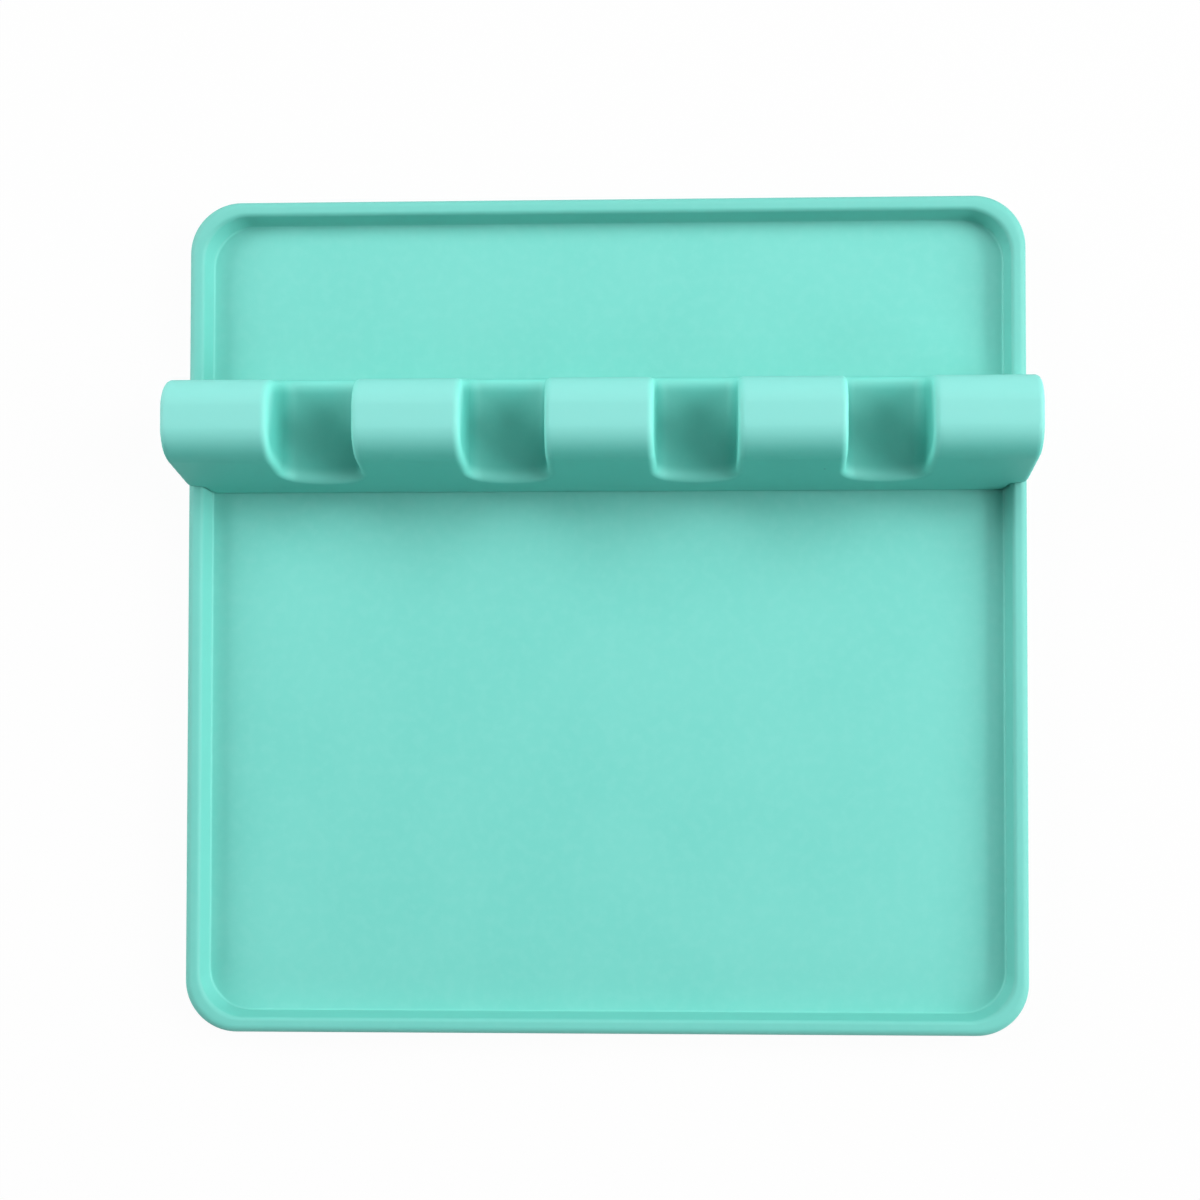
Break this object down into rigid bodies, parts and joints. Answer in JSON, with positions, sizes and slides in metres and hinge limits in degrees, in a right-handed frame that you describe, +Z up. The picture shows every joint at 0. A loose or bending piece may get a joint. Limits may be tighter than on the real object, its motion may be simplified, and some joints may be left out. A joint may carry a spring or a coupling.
{
  "type": "utensil rest",
  "caption": "Square silicone drip tray with a low rim and a lift-off notched bar across it that holds the handles of cooking utensils.",
  "frame": {"origin": "middle of the tray's flat underside, on the surface that the rest stands on", "axes": "+Z up, +X along the bar to the right seen from the front, +Y towards the back edge near the bar"},
  "size_m": [0.195, 0.194, 0.028],
  "materials": {
    "silicone": "matte mint green moulded silicone"
  },
  "bodies": {
    "tray": {"drip_tray": "silicone"},
    "bar": {"rest_bar": "silicone"}
  },
  "joints": [
    {"name": "bar_lift", "type": "slide", "parent": "tray", "child": "bar", "axis": [0, 0, 1], "range_m": [0, 0.04]}
  ]
}
